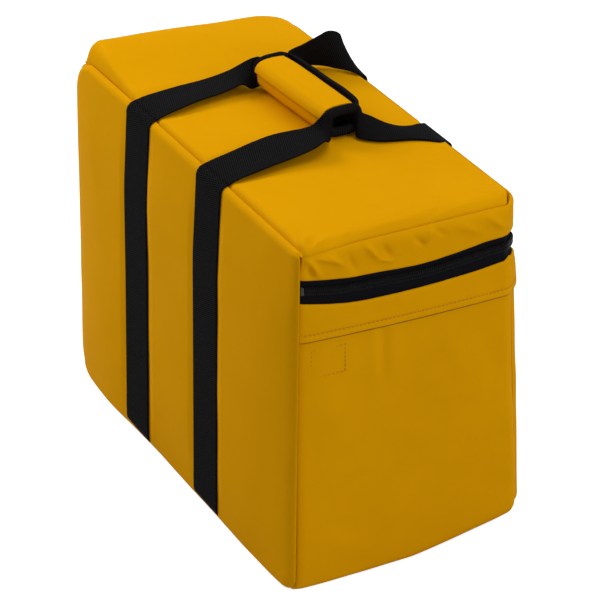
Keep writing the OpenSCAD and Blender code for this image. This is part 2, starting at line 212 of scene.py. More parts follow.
def wovenCloth(name, base, lit, pitch, rough=0.8):
    s = newShade(name, Specular_IOR_Level=0.02)
    u, v = s.uv()
    across, down = s.wave(u, pitch) * s.wave(v, pitch * 2), s.wave(v, pitch) * s.wave(u, pitch * 2)
    weave = s.maths("MAXIMUM", across, down)
    patch = s.cloud(s.place(), 30.0)
    s.put("Base Color", s.mix(weave * 0.5 + patch * 0.4, base, lit))
    s.put("Roughness", s.ramp(patch, 0.3, 0.7, rough - 0.08, rough + 0.08))
    s.bumps((s.cloud(s.place(), 22.0, 2.0), 0.3, 0.002), (weave, 0.5, 0.0003))
    return s.owner


def mouldedPlastic(name, base, lit, rough, metal=0.0, grain=500.0, shine=0.2):
    s = newShade(name, Metallic=metal, Specular_IOR_Level=shine)
    speck = s.cloud(s.place(), grain, 3.0)
    wear = s.ramp(s.cloud(s.place(), grain * 0.2, 4.0, 0.7), 0.55, 0.75)
    s.put("Base Color", s.mix(speck * 0.4 + wear * 0.5, base, lit))
    s.put("Roughness", s.ramp(speck, 0.3, 0.7, rough - 0.07, rough + 0.07))
    s.bumps((speck, 0.15, 0.0002))
    return s.owner


yellow = coatedFabric("yellowCoated", (0.755, 0.345, 0.001, 1), (0.685, 0.305, 0.001, 1))
webMat = ribbedWebbing("blackWebbing", (0.0006, 0.0006, 0.0008, 1), (0.0215, 0.0205, 0.0215, 1))
tapeMat = wovenCloth("zipTape", (0.0035, 0.0035, 0.0045, 1), (0.011, 0.011, 0.014, 1), 0.0008)
coilMat = mouldedPlastic("nylonCoil", (0.0015, 0.0015, 0.002, 1), (0.02, 0.02, 0.023, 1), 0.3, shine=0.06)
liningMat = wovenCloth("greyLining", (0.035, 0.036, 0.038, 1), (0.075, 0.076, 0.08, 1), 0.0011)
foamMat = mouldedPlastic("foamSheet", (0.022, 0.022, 0.024, 1), (0.05, 0.05, 0.052, 1), 0.9, grain=900.0)
boardMat = mouldedPlastic("boardPlastic", (0.02, 0.02, 0.02, 1), (0.05, 0.05, 0.05, 1), 0.55)
metalMat = mouldedPlastic("blackMetal", (0.02, 0.02, 0.022, 1), (0.09, 0.09, 0.09, 1), 0.35, metal=0.6)
hookMat = wovenCloth("hookAndLoop", (0.008, 0.008, 0.008, 1), (0.03, 0.03, 0.03, 1), 0.0016)
threadMat = mouldedPlastic("yellowThread", (0.5, 0.215, 0.003, 1), (0.62, 0.28, 0.006, 1), 0.6, grain=1500.0)
# brown thread for the grip flap's bar tacks; the same brown also draws the thin line under the hem band's
# lower edge, which is painted shade for the shadow there
threadAndHemShadeMat = mouldedPlastic("brownThreadAndHemShade", (0.12, 0.045, 0.002, 1), (0.2, 0.08, 0.004, 1), 0.7, grain=1500.0)
print("materials made")


# mesh making

def makePiece(name, verts, faces, uv, material, body, nodes=(), thick=0.0):
    mesh = bpy.data.meshes.new(name)
    mesh.from_pydata((np.asarray(verts, float) * mm).tolist(), [], [list(map(int, f)) for f in faces])
    loops = np.empty(len(mesh.loops), dtype=np.int32)
    mesh.loops.foreach_get("vertex_index", loops)
    layer = mesh.uv_layers.new(name="weave")
    layer.data.foreach_set("uv", (np.asarray(uv, float)[loops] * mm).ravel())
    mesh.polygons.foreach_set("use_smooth", np.ones(len(mesh.polygons), dtype=bool))
    mesh.materials.append(material)
    obj = bpy.data.objects.new(name, mesh)
    bpy.context.collection.objects.link(obj)
    if thick:
        shell = obj.modifiers.new("thickness", "SOLIDIFY")
        shell.thickness = thick * mm
        shell.offset = -1
        even = obj.modifiers.new("even", "WEIGHTED_NORMAL")
        even.mode, even.weight = "FACE_AREA", 95
    if body:  # a piece without a body is left unattached
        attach(obj, body)
    if nodes:
        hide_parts(*nodes)
    return obj


def gridFaces(rows, cols, loop=False, flip=False):
    i, j = np.meshgrid(np.arange(rows - 1), np.arange(cols if loop else cols - 1), indexing="ij")
    a, b = i * cols + j, i * cols + (j + 1) % cols
    quads = np.stack([a, b, b + cols, a + cols], -1).reshape(-1, 4)
    return quads[:, ::-1] if flip else quads


def gridPiece(name, grid, uv, flip, material, body, nodes=(), thick=0.0):
    faces = gridFaces(*grid.shape[:2], flip=flip)
    return makePiece(name, grid.reshape(-1, 3), faces, uv.reshape(-1, 2), material, body, nodes, thick)


def clothSize(obj):  # works out a sheet's flat size from its area and weave map, and keeps nothing
    mesh = obj.data
    area = sum(f.area for f in mesh.polygons)
    uv = np.array([d.uv[:] for d in mesh.uv_layers["weave"].data])
    wide, long = (float(v) for v in sorted(np.ptp(uv, axis=0)))
    wide = max(wide, area / long)


# the bag's outline, in mm: each side as (at the floor, at the top)
bag = {"top": 360, "corner": (18, 24, 42), "left": (-122, -117), "right": (135, 116),
       "front": (-238.5, -238.5), "back": (241, 237.8), "straps": (-68, 86), "strapWidth": 50}
seamSet = {"x": (-116.4, -115.2), "upTo": 320, "turn": 4.7, "turnFrom": 322, "turnOver": 35,
           "dip": 2.2, "dipOver": 4.0, "tuck": 7}
swellSet = {"front": (5, 5.5), "right": (1.0, 3.0), "back": 3.0, "flat": (312, 30),
            "waist": 2.5, "waistAt": (318, 24)}
liftSet = {"height": 15.0, "fromX": 5, "overX": 125, "power": 1.15, "fromY": 70, "overY": 150}
legLengths = (215, 38, 430, 38, 215)  # front, corner, right, corner, back


def side(name, z):
    return lerp(*bag[name], np.clip(z / bag["top"], 0, 1))


def frontSeam(z):  # x of the upright seams beside the left panel
    turn = ease((z - seamSet["turnFrom"]) / seamSet["turnOver"])
    return lerp(*seamSet["x"], np.clip(z / seamSet["upTo"], 0, 1)) + seamSet["turn"] * turn


def arch(u, start, length, power):
    return np.sin(np.pi * np.clip((u - start) / length, 0, 1)) ** power


def swell(u, z):
    k = np.clip(z / bag["top"], 0, 1)
    fade = np.clip((1 - k) * 5, 0, 1)
    front = lerp(*swellSet["front"], np.clip(k * 2.2, 0, 1)) * arch(u, 0, 1.3, 0.8)
    right = lerp(*swellSet["right"], np.clip(k * 3, 0, 1)) * arch(u, 1.6, 1.8, 0.7)
    back = swellSet["back"] * arch(u, 3.7, 1.3, 0.8) * (1 - hump(z, *swellSet["flat"]))
    waist = swellSet["waist"] * hump(z, *swellSet["waistAt"]) * ease((u - 0.95) / 0.5) * ease((4 - u) / 0.5)
    return fade * (front + right + back) - waist


def lift(x, y):  # the front right foot stands clear of the floor
    along = np.clip((x - liftSet["fromX"]) / liftSet["overX"], 0, 1) ** liftSet["power"]
    return liftSet["height"] * along * ease((-y - liftSet["fromY"]) / liftSet["overY"])


# side panel on the hinge side; corners are (front or rear, low or high)
leftSet = {"roll": 6.5, "corners": {(-1, -1): 18, (-1, 1): 8, (1, -1): 34, (1, 1): 40}, "low": (4.6, 8.0),
           "middle": 4.4, "between": 2.5, "lidEnd": 22}


def endRound(u, z):  # the back's left end follows the side panel's round corners
    low, high = leftSet["corners"][(1, -1)], leftSet["lidEnd"]
    d = np.clip(low - z, 0, low * 0.93)
    e = np.clip(z - bag["top"] + high, 0, high * 0.93)
    cut = low - np.sqrt(low ** 2 - d ** 2) + high - np.sqrt(high ** 2 - e ** 2)
    return ease((u - 4.45) / 0.55) * cut


def seamDip(u, spots):
    near = np.min([np.abs(u - k) * legLengths[min(int(k), 4)] for k in spots], axis=0)
    return seamSet["dip"] * np.exp(-(near / seamSet["dipOver"]) ** 2)


def around(u, z, inset=0.0):  # u runs 0-1 along the front, then corner, right, corner, back at 4-5
    u, z, inset = np.broadcast_arrays(*(np.asarray(v, float) for v in (u, z, inset)))
    x0, x1 = frontSeam(z), side("right", z)
    y0, y1 = side("front", z), side("back", z)
    k = np.clip(z / bag["top"], 0, 1)
    low, front, rear = bag["corner"]
    r, rb = lerp(low, front, k), lerp(low, rear, k * k)
    a, b = np.radians(90 * (u - 2)), np.radians(90 * (u - 3))
    legs = [u <= 1, u <= 2, u <= 3, u <= 4, u <= 5.0001]
    nx = np.select(legs, [0 * u, np.cos(a), 0 * u + 1, np.cos(b), 0 * u])
    ny = np.select(legs, [0 * u - 1, np.sin(a), 0 * u, np.sin(b), 0 * u + 1])
    x = np.select(legs, [lerp(x0, x1 - r, u), x1 - r + r * nx, x1, x1 - rb + rb * nx,
                         lerp(x1 - rb, x0, u - 4)])
    y = np.select(legs, [y0, y0 + r + r * ny, lerp(y0 + r, y1 - rb, u - 2), y1 - rb + rb * ny, y1])
    out = swell(u, z) - inset - endRound(u, z)
    return np.stack([x + nx * out, y + ny * out, z], -1)


zipSet = {"u": (0, 0.2, 0.37, 0.63, 0.8, 0.95, 1.5, 2.2, 5.0), "half": 12.0, "coilUp": 2.2,
          "z": (320.5, 313, 311.2, 309.4, 311.5, 314, 313.5, 312, 312)}
# edge: the height of the dark brown bead line under the hem band's lower edge, which is painted shade
hemSet = {"line": 268.8, "fall": 2.6, "stitches": 7, "edge": -0.2, "pitch": 4.2}


def zipMid(u):
    return curve(zipSet["u"], zipSet["z"], u)


def zipHigh(u):
    return zipMid(u) + zipSet["half"] + 0.5 * np.sin(u * 9.0) * (u < 4)


def zipLow(u):
    return zipMid(u) - zipSet["half"] + 0.8 * np.sin(u * 11.0 + 1.0) * (u < 4)


def coilLine(u):
    return zipMid(u) + zipSet["coilUp"] * ease((1.4 - u) / 0.6)


def hemLine(u):
    return hemSet["line"] - hemSet["fall"] * np.clip(u, 0, 1.2)


def spaced(start, stop, step):  # u values about step mm apart
    out = [start]
    for k, length in enumerate(legLengths):
        lo, hi = max(start, k), min(stop, k + 1)
        if hi > lo + 1e-9:
            n = max(2, int(round(length * (hi - lo) / step)))
            out += list(np.linspace(lo, hi, n + 1)[1:])
    return np.array(out)


def overRows(u, rows, which=1):
    return np.stack([np.broadcast_to(np.asarray(row[which], float), u.shape) for row in rows])


def stripPiece(name, u, rows, material, body, nodes, thick, push=0.0, ends=(0.0, 5.0)):
    # rows: (inset, z), either one an array over u; push is outward; both ends turn in at the seams
    inset = overRows(u, rows, 0) + seamDip(u, ends) - push
    tuck = seamSet["tuck"]
    inset = np.concatenate([inset[:, :1] + tuck, inset, inset[:, -1:] + tuck], axis=1)
    down = np.pad(overRows(u, rows), ((0, 0), (1, 1)), "edge")
    grid = around(np.pad(u, 1, "edge")[None, :] + 0 * down, down, inset)
    along = np.pad(lengthAlong(around(u, 200.0)), 1, "edge")
    uv = np.stack([np.broadcast_to(along, down.shape), down], -1)
    return gridPiece(name, grid, uv, True, material, body, nodes, thick)


def beads(name, points, outward, up, sections, pitch, shift, sides, material, body, nodes=()):
    # a row of small tapered beads along points; sections: (along, across, out, size)
    verts, faces, uv = [], [], []
    run = lengthAlong(points)
    angles = [2 * math.pi * k / sides for k in range(sides)]
    for s in np.arange(pitch + shift, run[-1] - pitch, pitch):
        p, q = (np.array([np.interp(s + e, run, points[:, k]) for k in range(3)]) for e in (0, 0.5))
        n = np.array([np.interp(s, run, outward[:, k]) for k in range(3)])
        t = (q - p) / np.linalg.norm(q - p)
        w = np.cross(n, t) if up is None else np.array(up, float)
        long, flat = (t, w) if up is None else (w, t)
        first = len(verts)
        for a, c, o, size in sections:
            middle = p + long * a + flat * c + n * o
            verts += [middle + size * (flat * math.cos(g) + n * math.sin(g)) for g in angles]
            uv += [(s, a)] * sides
        for r in range(len(sections) - 1):
            for k in range(sides):
                a, b = first + r * sides + k, first + r * sides + (k + 1) % sides
                faces.append((a, b, b + sides, a + sides))
        faces.append(tuple(first + k for k in reversed(range(sides))))
        faces.append(tuple(len(verts) - sides + k for k in range(sides)))
    makePiece(name, verts, faces, uv, material, body, nodes)


stitchShape = [(-1.5, 0, -0.25, 0.25), (-0.9, 0, 0.05, 0.45), (0.9, 0, 0.05, 0.45), (1.5, 0, -0.25, 0.25)]
# bead section for the dark brown line under the hem band's edge, which is painted shade
hemShadeShape = [(-2.2, 0, -0.1, 0.3), (-1.4, 0, 0.0, 0.5), (1.4, 0, 0.0, 0.5), (2.2, 0, -0.1, 0.3)]
tackShape = [(-0.9, 0, -0.2, 0.4), (-0.4, 0, 0.1, 0.7), (0.4, 0, 0.1, 0.7), (0.9, 0, -0.2, 0.4)]


def rimLines(low, high, roll, count, tuck, turns=6, flat=1.0):
    # grid lines across a rolled panel: place and depth
    a = np.linspace(0, np.pi / 2, turns + 1)
    edge, drop = roll * (1 - np.cos(a)), flat * roll * (1 - np.sin(a))
    inner = np.linspace(low + roll, high - roll, count)[1:-1]
    place = np.concatenate([[low + tuck[0]], low + edge, inner, high - edge[::-1], [high - tuck[0]]])
    under = [flat * roll + tuck[1]]
    depth = np.concatenate([under, drop, 0 * inner, drop[::-1], under])
    return place, depth


def rolledPanel(a, b, radii):
    # a and b are rimLines; returns places and depth with the outline's corners rounded
    (pa, da), (pb, db) = a, b
    p, q = np.meshgrid(pa, pb, indexing="ij")
    depth = np.maximum(da[:, None], db[None, :])
    for (sa, sb), r in radii.items():
        ca = (pa.max() - r) if sa > 0 else (pa.min() + r)
        cb = (pb.max() - r) if sb > 0 else (pb.min() + r)
        x, y = (p - ca) * sa, (q - cb) * sb
        inside = (x > 0) & (y > 0)
        scale = np.where(inside, np.maximum(x, y) / np.maximum(np.hypot(x, y), 1e-9), 1.0)
        p = np.where(inside, ca + (p - ca) * scale, p)
        q = np.where(inside, cb + (q - cb) * scale, q)
    return p, q, depth


def strapMask(y, spread=10):
    half = bag["strapWidth"] / 2
    return sum(ease((half + spread - np.abs(y - c)) / spread) for c in bag["straps"])


def leftFace(y, z):
    k = np.clip(z / bag["top"], 0, 1)
    across = 1 - np.clip(np.abs(y) / 239, 0, 1) ** 8
    low = lerp(*leftSet["low"], ease((y - 40) / 120))
    up = lerp(low, leftSet["middle"], np.clip(2 * k, 0, 1)) * np.clip((1 - k) * 4, 0, 1)
    ends = np.clip(k * 6, 0, 1) * np.clip((1 - k) * 6, 0, 1)
    return side("left", z) - across * (up + leftSet["between"] * (1 - strapMask(y)) * ends)


yLines = rimLines(-239.5, 242.0, 13, 96, (4.0, 0.3), flat=0.32)
zLines = rimLines(1.5, bag["top"], leftSet["roll"], 76, (4.0, 0.3))
y, z, depth = rolledPanel(yLines, zLines, leftSet["corners"])
x = leftFace(y, z) + depth + 0.9 * wander(y, z, 90, 3.1) * np.clip(1 - depth / 4, 0, 1)
leftPanel = gridPiece("leftSidePanel", np.stack([x, y, z], -1), np.stack([y, z], -1), False, yellow, "bag",
                      ["left_side_cover"], 1.2)
y, z = np.meshgrid(np.linspace(-230, 230, 40), np.linspace(8, 348, 30), indexing="ij")
grid = np.stack([leftFace(y, z) + 3.0, y, z], -1)
gridPiece("leftPadding", grid, np.stack([y, z], -1), False, foamMat, "bag", ["left_foam"], 5.0)
print("left side made")

# lower front, right and back panels
lowSet = {"lap": 14, "inset": 2.6, "roll": 13, "foot": 2, "liftUpTo": 90, "foamTop": 291.0, "foamLow": 20.0,
          "frontX": (-118, -60, 0, 60, 130), "frontRoll": (4.5, 6.5, 10, 14, 22),
          "stitchX": (-101, -68), "stitchZ": (230, 258)}
frontCreases = [((30, 262), (60, 180), 12, 1.4), ((70, 250), (95, 170), 12, -1.2),
                ((-95, 215), (-60, 140), 16, 1.2), ((100, 160), (112, 60), 8, 1.2),
                ((-100, 60), (-40, 24), 12, 1.2), ((-84, 262), (-100, 225), 7, 0.9)]


def lowerPanel(name, start, stop, cover, foam):
    u = spaced(start - 0.02 * (start > 0), stop + 0.02 * (stop < 5), 3.5)
    spot = around(u, 30.0)
    inset, foot, top = lowSet["inset"], lowSet["foot"], hemLine(u)
    atFront = ease((-spot[:, 1] - 200) / 36)
    r = lerp(lowSet["roll"], curve(lowSet["frontX"], lowSet["frontRoll"], spot[:, 0]), atFront)
    rows = [(inset, top + lowSet["lap"] - k) for k in (0, 8)]
    rows += [(inset, lerp(top + 3, foot + r, k)) for k in np.linspace(0, 1, 60)]
    turns = np.radians([15, 30, 45, 60, 75, 87])
    rows += [(inset + r * (1 - math.cos(a)), foot + r - r * math.sin(a)) for a in turns]
    rows.append((inset + r + 6, foot - 0.05))
    raised = lift(spot[:, 0], spot[:, 1])
    rows = [(a, b + raised * np.clip(1 - b / lowSet["liftUpTo"], 0, 1)) for a, b in rows]
    zz = overRows(u, rows)
    along = lengthAlong(around(u, 200.0))
    push = 0.8 * wander(along[None, :] + 0 * zz, zz, 70, 5.0 + start)
    if start == 0:
        x = around(u, 240.0)[:, 0][None, :] + 0 * zz
        pleats = 1.5 * hump(x, -37, 8) - 1.6 * hump(x, -29, 5) + 1.3 * hump(x, -19, 9)
        push = push + ease((zz - 200) / 30) * ease((274 - zz) / 8) * pleats + creases(x, zz, frontCreases)
    panel = stripPiece(name, u, rows, yellow, "bag", [cover], 1.2, push, (start, stop))
    u = spaced(start, stop, 9.0)
    spot = around(u, 30.0)
    low = lowSet["foamLow"] + 1.6 * lift(spot[:, 0], spot[:, 1])
    rows = [(inset + 4.0, lerp(lowSet["foamTop"], low, k)) for k in np.linspace(0, 1, 24)]
    stripPiece(name + "Padding", u, rows, foamMat, "bag", [foam], 4.0)


lowerPanel("frontPanel", 0, 1.5, "front_cover", "front_foam")
lowerPanel("rightSidePanel", 1.5, 3.5, "right_side_cover", "right_foam")
lowerPanel("backPanel", 3.5, 5, "back_cover", "back_foam")
(xa, xb), (za, zb) = lowSet["stitchX"], lowSet["stitchZ"]
square = np.array([(xa, za), (xa, zb), (xb, zb), (xb, za), (xa, za)], float)
ring = np.concatenate([np.linspace(a, b, 12)[:-1] for a, b in zip(square[:-1], square[1:])] + [square[-1:]])
line = around((ring[:, 0] + 115.5) / 212.0, ring[:, 1], lowSet["inset"] - 0.5)
beads("frontStitches", line, np.tile([0.0, -1.0, 0.0], (len(line), 1)), None, stitchShape, 4.4, 0, 6,
      threadMat, "bag")
print("lower panels made")

# band below the zip, with its stitched hem
u = np.concatenate([spaced(0, 1.5, 1.6), spaced(1.5, 5, 3.5)[1:]])
along = lengthAlong(around(u, 200.0))
hem, low = hemLine(u), zipLow(u)
rows = [(2.8, low - 6), (2.5, low - 1.0), (1.5, low), (0.5, low - 0.7)]
rows += [(0.25 * math.sin(k * math.pi), lerp(low - 2, hem + 9.5, k)) for k in np.linspace(0, 1, 9)]
rows += [(0.2, hem + 8), (0.55, hem + 7), (0.2, hem + 6), (-0.1, hem + 4), (-0.1, hem + 1.5)]
rows += [(0.2, hem + 0.4), (0.9, hem), (1.4, hem + 0.8)]
zz = overRows(u, rows)
push = 0.6 * wander(along[None, :] + 0 * zz, zz, 30, 8.0)
hemBand = stripPiece("hemBand", u, rows, yellow, "bag", ["hem_band"], 0.9, push)
clothSize(hemBand)
fine = spaced(0.02, 4.98, 1.5)
# the second row is not real thread: it is a thin dark brown line tucked under the hem band's lower edge,
# painted shade standing in for the shadow under the band's overhang
for name, up, inset, shape, material in (("hemStitches", hemSet["stitches"], 0.2, stitchShape, threadMat),
                                         ("hemShadeLine", hemSet["edge"], 0.9, hemShadeShape, threadAndHemShadeMat)):
    line = around(fine, hemLine(fine) + up, inset)
    outward = around(fine, hemLine(fine) + up, inset - 1.0) - line
    beads(name, line, outward, None, shape, hemSet["pitch"], 0, 6, material, "bag")

# lid band above the zip, rolled over the top edge
lidSet = {"inset": (0.0, 7.0, 2.5, 4.5), "height": (355.0, 351.0, 353.0, 1.0),
          "roll": (1.0, 7.0, 3.0, 12.0),  # front, right, back, and what the soft front adds
          "ridge": 9.6, "dent": 6.0, "dentAt": (-82, 86), "dentHalf": 33}
bandCreases = [((-108, 353), (-92, 332), 3.0, 2.8), ((-106, 346), (-100, 334), 2.6, -2.2),
               ((-98, 352), (-78, 344), 2.8, 2.0), ((-88, 353), (-70, 338), 3.0, 2.2),
               ((-66, 348), (-56, 330), 2.8, -1.6), ((-50, 354), (-34, 336), 2.6, 2.6),
               ((-34, 336), (-20, 331), 2.2, 1.6), ((-30, 348), (-22, 336), 2.6, -2.0),
               ((2, 349), (12, 339), 2.4, -2.0), ((12, 341), (22, 354), 2.4, 2.4),
               ((22, 352), (36, 343), 2.4, -1.4), ((48, 350), (70, 338), 4.0, 1.4),
               ((78, 352), (96, 336), 3.5, 1.6)]


def softFront(u):  # how far the lid's front edge is rounded off
    return ease((u - 0.02) / 0.3) * (1 - ease((u - 1.0) / 0.4))


def edgeSeam(u):  # where the lid band meets the top panel: inset, height, roll and the right side's share
    f, b, w = 1 - ease((u - 1.05) / 0.6), ease((u - 3.3) / 0.8), softFront(u)
    r = 1 - f - b
    values = [lidSet[key] for key in ("inset", "height", "roll")]
    return *(k[0] * f + k[1] * r + k[2] * b + k[3] * w for k in values), r


seamIn, seamZ, seamRoll, atRight = edgeSeam(u)
high, soft = zipHigh(u), softFront(u)
under = around(u, 350.0)[:, 1]
dent = sum(ease((lidSet["dentHalf"] - np.abs(under - c)) / 8) for c in lidSet["dentAt"])
rows = [(seamIn + 3.0, seamZ + 3 - 8 * atRight - 6 * soft)]
rows.append((seamIn + 1.0, seamZ + 1.5 - 2.5 * atRight - 3 * soft))
for k in np.linspace(0, 1, 11):
    a = k * math.pi / 2
    ridge = (lidSet["ridge"] - lidSet["dent"] * dent) * atRight * math.sin(min(k / 0.35, 1) * math.pi / 2)
    rows.append((seamIn * (1 - math.sin(a)) + 0.06 * (1 - k), seamZ + ridge - seamRoll * (1 - math.cos(a))))
foot = rows[-1][1]
rows += [(0.0, lerp(foot - 1.0, high + 2, k)) for k in np.linspace(0, 1, 22)]
rows += [(0.4, high + 0.7), (1.4, high), (2.4, high + 0.9), (2.7, high + 6)]
zz = overRows(u, rows)
xx = around(u, 340.0)[:, 0][None, :] + 0 * zz
folds = creases(xx, zz, bandCreases) * (u < 1.3) * ease((zz - high) / 4) * ease((seamZ - zz) / 5)
push = (0.4 + 0.9 * wander(along[None, :] + 0 * zz, zz, 34, 4.0)) * ease((seamZ - zz) / 6) + 1.3 * folds
lidBand = stripPiece("lidBand", u, rows, yellow, "lid", ["lid_band"], 0.9, push)
clothSize(lidBand)
print("bands made")

# zip tapes, coil and end stops
coilSet = {"pitch": 1.9, "stops": (0.022, 4.978),
           "tooth": [(-0.5, -0.1, 0.0, 0.45), (0.0, -0.05, 0.5, 0.75), (2.0, 0.2, 0.7, 0.75),
                     (3.8, 0.4, 0.5, 0.7), (4.4, 0.45, -0.2, 0.5)],
           "stop": [(-4.2, 0, 0, 0.8), (-3.6, 0, 0.2, 1.6), (3.6, 0, 0.2, 1.6), (4.2, 0, 0, 0.8)]}
tapes = (("zipTapeLow", -1, zipLow(u), "bag", "zip_tape_lower", "hemBand"),
         ("zipTapeHigh", 1, zipHigh(u), "lid", "zip_tape_upper", "lidBand"))
for name, sign, edge, body, node, over in tapes:
    steps = np.linspace(0, 1, 7)[::sign]
    rows = [(lerp(3.4, 2.0, k), lerp(edge + sign * 8, coilLine(u) + sign * 1.2, k)) for k in steps]
    clothSize(stripPiece(name, u, rows, tapeMat, body, [node], 0.6))
fine = spaced(0.012, 4.988, 1.5)
line = around(fine, coilLine(fine), 1.0)
outward = around(fine, coilLine(fine), 0.0) - line
for name, sign, shift, body, node in (("zipCoilLow", -1, 0.0, "bag", "zip_coil_lower"),
                                      ("zipCoilHigh", 1, coilSet["pitch"] / 2, "lid", "zip_coil_upper")):
    beads(name, line, outward, (0, 0, sign), coilSet["tooth"], coilSet["pitch"], shift, 5, coilMat, body,
          [node])
for name, w, nodes in zip(("zipStopA", "zipStopB"), coilSet["stops"], (["zip_stops"], ())):
    line = around(np.array([w - 0.02, w, w + 0.02]), float(coilLine(w)), 0.6)
    outward = around(np.array([w] * 3), float(coilLine(w)), -0.4) - line
    beads(name, line, outward, (0, 0, 1), coilSet["stop"], 3.0, 0.6, 8, metalMat, "bag", nodes)
print("zip made")

# top panel, a patch between its four seams; rolls are left, right, front, rear
topSet = {"level": 363.5, "crown": 2.2, "rear": (0.5, 16.5), "rolls": (7, 5, 9, 9), "size": (226, 472)}
topCreases = [((-46, -236), (14, -234.5), 1.8, -2.4), ((-40, -230), (8, -228), 3.0, 1.4),
              ((-110, -232), (-90, -212), 3.0, 2.6), ((-104, -236), (-88, -222), 2.4, -2.6),
              ((-98, -237), (-78, -228), 2.8, 2.4), ((-108, -224), (-96, -204), 2.6, -1.8),
              ((-84, -236), (-64, -230), 2.4, -1.6), ((-70, -234), (-56, -224), 3.0, 1.6),
              ((20, -233), (38, -224), 3.0, -1.6), ((50, -234), (62, -226), 3.5, 1.4),
              ((100, -226), (84, -208), 3.0, 1.2), ((104, -216), (94, -200), 2.5, -1.0),
              ((-6, 92), (-30, 66), 4.0, 0.9), ((-12, 60), (-34, 44), 5.0, 0.7)]


def topLevel(x, y):
    crown = topSet["crown"] * (1 - (x / 115) ** 2) * (1 - np.clip(np.abs(y) / 240, 0, 1) ** 4)
    rear = lerp(*topSet["rear"], np.clip((112 - x) / 222, 0, 1) ** 1.2) * hump(y, 222, 62)
    return topSet["level"] + crown + rear - 2.0 * strapMask(y) * ease((-35 - x) / 55)


def rise(d, r):
    return np.sqrt(1 - (1 - np.clip(d / r, 0, 1)) ** 2)


def seamEdge(start, stop, q):
    u = np.linspace(start, stop, 400)
    inset, z, _, _ = edgeSeam(u)
    p = around(u, z, inset + seamDip(u, (0.0, 5.0)) - 0.04)
    run = lengthAlong(p) / lengthAlong(p)[-1]
    return np.stack([np.interp(q, run, p[:, k]) for k in range(3)], -1)


def edgeLines(length, first, last, step):  # lines across the patch, close together near both ends
    near = np.array([0, 0.04, 0.12, 0.25, 0.42, 0.62, 0.85, 1.15])
    n = int((length - near[-1] * (first + last)) / step)
    inner = np.linspace(near[-1] * first, length - near[-1] * last, n)[1:-1]
    return np.concatenate([near * first, inner, length - near[::-1] * last]) / length


def topPatch(drop, step):
    rollL, rollR, rollF, rollB = topSet["rolls"]
    wide, long = topSet["size"]
    s, t = edgeLines(wide, rollL, rollR, step), edgeLines(long, rollF, rollB, step)
    front, rear, right = seamEdge(0, 1.5, s), seamEdge(5, 3.5, s), seamEdge(1.5, 3.5, t)
    left = lerp(front[0], rear[0], t[:, None])
    s, t = s[:, None, None], t[None, :, None]
    p = (1 - t) * front[:, None] + t * rear[:, None] + (1 - s) * left[None] + s * right[None]
    p = p - (1 - s) * ((1 - t) * front[0] + t * rear[0]) - s * ((1 - t) * front[-1] + t * rear[-1])
    q = rise(s * wide, rollL + 10 * hump(t * long, 470, 36)) * rise((1 - s) * wide, rollR)
    q = q * rise(t * long, rollF + 6 * softFront(s * 1.05)) * rise((1 - t) * long, rollB)
    x, y = p[..., 0], p[..., 1]
    level = topLevel(x, y) + 0.8 * wander(x, y, 80, 1.7) + creases(x, y, topCreases)
    p[..., 2] = lerp(p[..., 2], level, q[..., 0]) - drop
    p = np.pad(p, ((1, 1), (1, 1), (0, 0)), "edge")
    rim = np.ones(p.shape[:2], bool)  # a turned-down edge inside the band
    rim[1:-1, 1:-1] = False
    p[rim] = p[rim] * [0.985, 0.992, 1] - [0, 0, 5.0]
    return p


p = topPatch(0.0, 2.2)
topPanel = gridPiece("topPanel", p, p[..., :2], True, yellow, "lid", ["top_cover"], 1.2)
p = topPatch(3.0, 12.0)
gridPiece("topPadding", p, p[..., :2], True, foamMat, "lid", ["top_foam"], 4.0)

# base panel, with its board and padding above it; corners are (left or right, front or rear)
baseSet = {"corners": {(-1, -1): 16, (-1, 1): 30, (1, -1): 34, (1, 1): 18},
           "inner": {(-1, -1): 20, (-1, 1): 42, (1, -1): 45, (1, 1): 24},
           "x": (-110.0, 103), "y": (-219, 228.5)}


def baseLift(x, y):
    return lift(x * 1.05, y * 1.04)


xLines = rimLines(-120.0, 122.0, 4, 40, (0.5, 2.0))
yLines = rimLines(-228.0, 232.0, 4, 60, (0.5, 2.0))
x, y, depth = rolledPanel(xLines, yLines, baseSet["corners"])
z = 2.0 + depth * 0.7 + 0.15 * wander(x, y, 60, 9.0) + baseLift(x, y)
basePanel = gridPiece("basePanel", np.stack([x, y, z], -1), np.stack([x, y], -1), True, yellow, "bag",
                      ["base_cover"])
layers = (("baseBoard", 3.2, 2.8, 0, boardMat, "board", "base_board"),
          ("basePadding", 6.6, 5.4, 1.5, foamMat, "foam", "base_foam"))
for name, low, thick, inset, material, slot, node in layers:
    xLines, yLines = (rimLines(baseSet[k][0] + inset, baseSet[k][1] - inset, 2, n, (0.0, 0.0), 3, 0.0)
                      for k, n in (("x", 24), ("y", 40)))
    x, y, depth = rolledPanel(xLines, yLines, baseSet["inner"])
    grid = np.stack([x, y, low + thick + baseLift(x, y)], -1)
    gridPiece(name, grid, np.stack([x, y], -1), True, material, "bag", [node], thick)
print("top and base made")


# webbing

def shellOf(grid, uv, thick):  # a sheet with two faces and thin side edges; rows run along the strap
    rows, m = grid.shape[:2]
    n = np.cross(np.gradient(grid, axis=0), np.gradient(grid, axis=1))
    n /= np.linalg.norm(n, axis=-1)[..., None]
    edge = np.ones(m)
    edge[[0, -1]] = 0.4
    off = n * (np.reshape(thick, (-1, 1)) * edge / 2)[..., None]
    verts = np.concatenate([grid + off, (grid - off)[:, ::-1]], axis=1)
    faces = [tuple(f) for f in gridFaces(rows, 2 * m, loop=True, flip=True)]
    faces += [tuple(range(2 * m)), tuple(reversed(range((rows - 1) * 2 * m, rows * 2 * m)))]
    return verts.reshape(-1, 3), faces, np.concatenate([uv, uv[:, ::-1]], axis=1).reshape(-1, 2)


